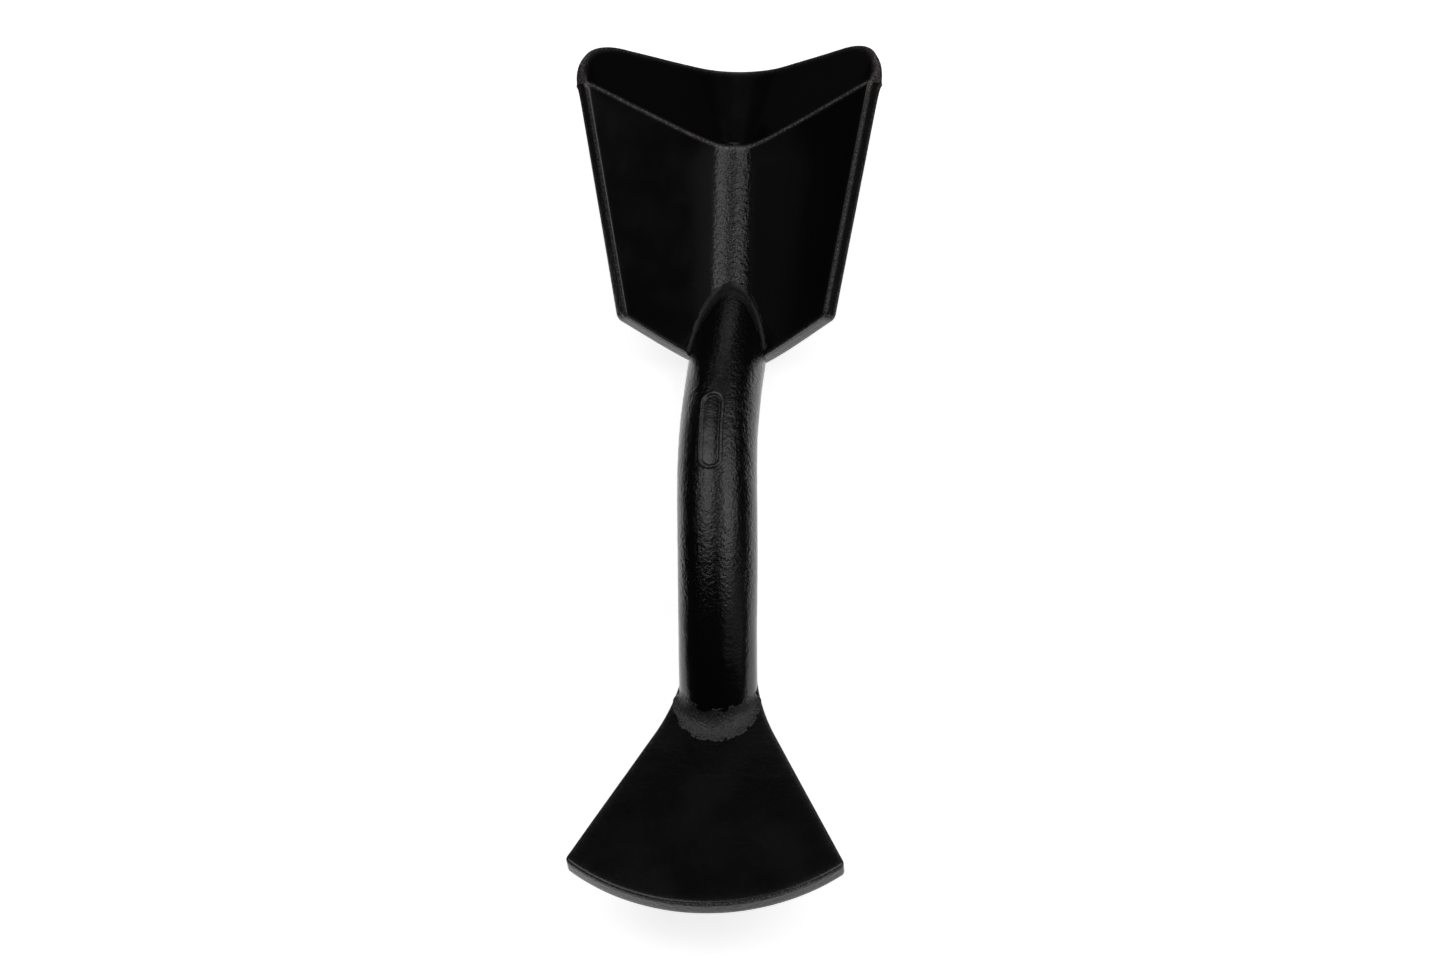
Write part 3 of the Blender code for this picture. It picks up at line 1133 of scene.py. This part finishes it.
@dataclass(frozen=True)
class SoftBox:
    """One large soft light, as a window of sky with faded borders.

    Attributes:
        side: Least and greatest angle sideways from the studio's axis.
        rise: Least and greatest angle lengthwise from the axis.
        fade: Width of the fade at each border sideways, then lengthwise.
        radiance: Brightness.
    """

    side: tuple[float, float]
    rise: tuple[float, float]
    fade: tuple[float, float]
    radiance: float

    def window(self, sheet: NodeSheet, side: object, rise: object) -> bpy.types.NodeSocket:
        """Add the light to a sky.

        Args:
            sheet: The sky's nodes.
            side: The angle sideways of each direction.
            rise: The angle lengthwise of each direction.

        Returns:
            The light's brightness in each direction.
        """
        result: object = self.radiance
        for angle, limits, fade in ((side, self.side, self.fade[0]), (rise, self.rise, self.fade[1])):
            low, high = (math.radians(limit) for limit in limits)
            half = math.radians(fade) / 2
            result = sheet.math("MULTIPLY", result, sheet.ramp(angle, low - half, low + half))
            result = sheet.math("MULTIPLY", result, sheet.ramp(angle, high - half, high + half, 1.0, 0.0))
        return result


@dataclass(frozen=True)
class Studio:
    """The camera, soft lights and pale floor.

    Attributes:
        origin: Where the bow's crest stands along Y.
        roll: Turn of the view about the tool's length.
        pitch: Lean of the view along the tool.
        yaw: Turn of the view about its own axis.
        aim: Where the camera points from the crest, across and along the view.
        distance: How far the camera stands off.
        lens: Its focal length in millimetres.
        floor_size: Length of the floor's sides.
        floor_glow: The floor's own light to the camera.
        floor_mirrored: Brightness of the floor near the tool, in what mirrors it.
        floor_dim: Its brightness further off.
        lit_across: The lit floor's reach along X.
        lit_along: Its reach along Y.
        lit_fade: Half the width of its border.
        ambient: Brightness of the sky between the lights.
        second_bounce: How strong the lights are once their light has bounced twice.
        boxes: The soft lights.
    """

    origin: float
    roll: float = math.radians(-6.04)
    pitch: float = math.radians(-16.0)
    yaw: float = math.radians(-1.98)
    aim: tuple[float, float] = (-1.15 * MM, 12.52 * MM)
    distance: float = 1.1
    lens: float = 95.9
    floor_size: float = 6.0
    floor_glow: float = 0.81
    floor_mirrored: float = 1.10
    floor_dim: float = 0.02
    lit_across: tuple[float, float] = (-68.0 * MM, 68.0 * MM)
    lit_along: tuple[float, float] = (-185.0 * MM, 105.0 * MM)
    lit_fade: float = 18.0 * MM
    ambient: float = 0.010
    second_bounce: float = 0.25
    boxes: tuple[SoftBox, ...] = field(default=(
        SoftBox(side=(13.0, 46.0), rise=(12.0, 24.0), fade=(6.0, 14.0), radiance=2.3),
        SoftBox(side=(13.0, 58.0), rise=(24.0, 36.0), fade=(6.0, 14.0), radiance=2.3),
        SoftBox(side=(13.0, 56.0), rise=(36.0, 57.0), fade=(6.0, 14.0), radiance=0.95),
        SoftBox(side=(20.0, 80.0), rise=(-12.0, 4.0), fade=(14.0, 14.0), radiance=0.33),
        SoftBox(side=(-180.0, 180.0), rise=(77.0, 95.0), fade=(1.0, 9.0), radiance=0.60),
        SoftBox(side=(-180.0, 180.0), rise=(-95.0, -54.0), fade=(1.0, 14.0), radiance=1.0),
        SoftBox(side=(-56.0, -12.0), rise=(20.0, 43.0), fade=(6.0, 18.0), radiance=2.1),
        SoftBox(side=(-56.0, -12.0), rise=(43.0, 57.0), fade=(6.0, 18.0), radiance=1.2),
    ))

    @property
    def axes(self) -> Matrix:
        """Give the camera's right, up and back directions as columns."""
        yaw, pitch = Matrix.Rotation(self.yaw, 3, "Z"), Matrix.Rotation(self.pitch, 3, "X")
        return (yaw @ pitch @ Matrix.Rotation(self.roll, 3, "Y")).transposed()

    def place_camera(self) -> None:
        """Add the camera."""
        data = bpy.data.cameras.new("camera")
        data.lens = self.lens
        data.sensor_width = 36.0
        data.clip_start = 0.01
        camera = bpy.data.objects.new("camera", data)
        where = self.axes @ Vector((*self.aim, self.distance)) + Vector((0.0, self.origin, 0.0))
        camera.matrix_world = Matrix.Translation(where) @ self.axes.to_4x4()
        bpy.context.scene.collection.objects.link(camera)
        bpy.context.scene.camera = camera

    def light(self) -> None:
        """Make the sky dark but for the soft boxes, and pale where it is seen past the floor."""
        world = bpy.data.worlds.new("studio")
        world.use_nodes = True
        bpy.context.scene.world = world
        sheet = NodeSheet(world.node_tree)
        heading = sheet.add("TexCoord").outputs["Generated"]
        right, up, back = (self.axes.col[k] for k in range(3))
        parts = []
        for axis in (right, up, back):
            dot = sheet.add("VectorMath", operation="DOT_PRODUCT")
            sheet.feed(dot.inputs[0], heading)
            sheet.feed(dot.inputs[1], tuple(axis))
            parts.append(dot.outputs["Value"])
        side = sheet.math("ARCTAN2", parts[0], parts[2])
        rise = sheet.math("ARCSINE", parts[1])
        total: object = 0.0
        for box in self.boxes:
            total = sheet.math("ADD", total, box.window(sheet, side, rise))
        path = sheet.add("LightPath")
        seen = path.outputs["Is Camera Ray"]
        direct = sheet.ramp(path.outputs["Ray Depth"], 2.2, 2.8, 1.0, self.second_bounce)
        total = sheet.math("ADD", sheet.math("MULTIPLY", total, direct), self.ambient)
        dark = sheet.add("Background", Strength=total)
        pale = sheet.add("Background", Strength=1.0)
        pale.inputs["Color"].default_value = (1.0, 1.0, 1.0, 1.0)
        dark.inputs["Color"].default_value = (1.0, 0.985, 0.985, 1.0)
        mix = sheet.add("MixShader")
        for socket, value in zip(mix.inputs, (seen, dark.outputs[0], pale.outputs[0])):
            sheet.feed(socket, value)
        output = sheet.add("OutputWorld")
        sheet.feed(output.inputs["Surface"], mix.outputs[0])

    def lay_floor(self) -> None:
        """Add the pale floor."""
        half, below = self.floor_size / 2, -0.05 * MM
        mesh = bpy.data.meshes.new("floor")
        corners = [(-half, -half, below), (half, -half, below), (half, half, below), (-half, half, below)]
        mesh.from_pydata(corners, [], [(0, 1, 2, 3)])
        floor = bpy.data.objects.new("floor", mesh)
        bpy.context.scene.collection.objects.link(floor)
        mesh.materials.append(self.floor_finish())

    def floor_finish(self) -> bpy.types.Material:
        """Make the floor pale to look at, and lit only around the tool for what mirrors it.

        Returns:
            The floor's material.
        """
        material = bpy.data.materials.new("pale_floor")
        material.use_nodes = True
        sheet = NodeSheet(material.node_tree)
        place = sheet.add("SeparateXYZ", Vector=sheet.add("TexCoord").outputs["Object"])
        lit: object = 1.0
        for axis, (low, high) in zip(("X", "Y"), (self.lit_across, self.lit_along)):
            for limit, way in ((low, -1.0), (high, 1.0)):
                out = sheet.math("MULTIPLY", place.outputs[axis], way)
                inner = way * limit
                fade = sheet.ramp(out, inner - self.lit_fade, inner + self.lit_fade, 1.0, 0.0)
                lit = sheet.math("MULTIPLY", lit, fade)
        lit = sheet.math("MAXIMUM", lit, self.floor_dim)
        seen = sheet.add("LightPath").outputs["Is Camera Ray"]
        pale = sheet.add("Emission", Strength=self.floor_glow)
        matt = sheet.add("BsdfDiffuse")
        matt.inputs["Color"].default_value = (0.9, 0.9, 0.9, 1.0)
        around = sheet.add("Emission", Strength=sheet.math("MULTIPLY", lit, self.floor_mirrored))
        looked_at = sheet.add("AddShader")
        for socket, value in zip(looked_at.inputs, (pale.outputs[0], matt.outputs[0])):
            sheet.feed(socket, value)
        mix = sheet.add("MixShader")
        for socket, value in zip(mix.inputs, (seen, around.outputs[0], looked_at.outputs[0])):
            sheet.feed(socket, value)
        output = sheet.add("OutputMaterial")
        sheet.feed(output.inputs["Surface"], mix.outputs[0])
        return material

    def build(self) -> None:
        """Set the whole studio up."""
        bpy.context.scene.view_settings.view_transform = "Standard"
        self.place_camera()
        self.light()
        self.lay_floor()


def tool_origin(fan: FanShape) -> float:
    """Find where along Y the bow's crest stands, from the fan blade's furthest point."""
    low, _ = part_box("fan_blade")
    return float(low[1]) + fan.bow.heel_end + fan.reach * math.cos(fan.rise)


def pieces() -> list[ToolPiece]:
    """List the tool's pieces.

    Returns:
        The pieces, in the order they are built.
    """
    fan_rise, fan_thick = math.radians(21.6), 5.8 * MM
    origin = tool_origin(FanShape(Bow(), End.FAN, fan_rise, fan_thick))
    bow = Bow(origin=origin)
    fan = FanShape(bow, End.FAN, fan_rise, fan_thick)
    trough = TroughShape(bow, End.TROUGH, math.radians(4.6), 5.5 * MM)
    forged = (Wave(5.0 * MM, 0.05 * MM), Wave(1.8 * MM, 0.025 * MM))
    pressed = (Wave(9.0 * MM, 0.04 * MM), Wave(3.0 * MM, 0.008 * MM))
    beaded = (Wave(2.4 * MM, 0.08 * MM), Wave(0.9 * MM, 0.035 * MM))
    smooth_bead = (Wave(2.0 * MM, 0.06 * MM), Wave(0.8 * MM, 0.02 * MM))
    lacquer, weld = Slot.BLACK_LACQUER, Slot.LACQUERED_WELD
    grip = LacquerFinish("grip_lacquer", grain_depth=0.19 * MM, grain_size=0.9 * MM)
    head = LacquerFinish("trough_lacquer", scratches=0.03)
    flat = LacquerFinish("fan_lacquer", scratches=0.03)
    rough = LacquerFinish("fan_weld_lacquer", colour=(0.005, 0.0046, 0.005),
                          roughness=(0.20, 0.28), grain_depth=0.20 * MM, grain_size=0.5 * MM)
    thin = LacquerFinish("trough_weld_lacquer", roughness=(0.30, 0.38), grain_depth=0.05 * MM,
                         specular=0.22)
    return [
        GripBar("grip_bar", lacquer, grip, forged, bow, trough, fan),
        TroughBlade("head_blade", lacquer, head, pressed, trough),
        FanBlade("fan_blade", lacquer, flat, pressed, fan),
        WeldFillet("head_weld", weld, thin, smooth_bead, trough, 2.0 * MM, math.radians(74.0),
                   end_lump=0.5 * MM),
        WeldFillet("fan_weld", weld, rough, beaded, fan, 4.2 * MM, math.radians(78.0), wear_and_highlight=0.15),
    ]


def main() -> None:
    """Build and dress every piece, then the studio."""
    logging.basicConfig(level=logging.INFO, format="%(name)s: %(message)s")
    parts = pieces()
    for part in parts:
        piece = part.build()
        part.dress(piece)
        log.info("%s: %d faces", piece.name, len(piece.data.polygons))
    Studio(origin=parts[0].bow.origin).build()
    log.info("studio ready")


if __name__ == "__main__":
    main()
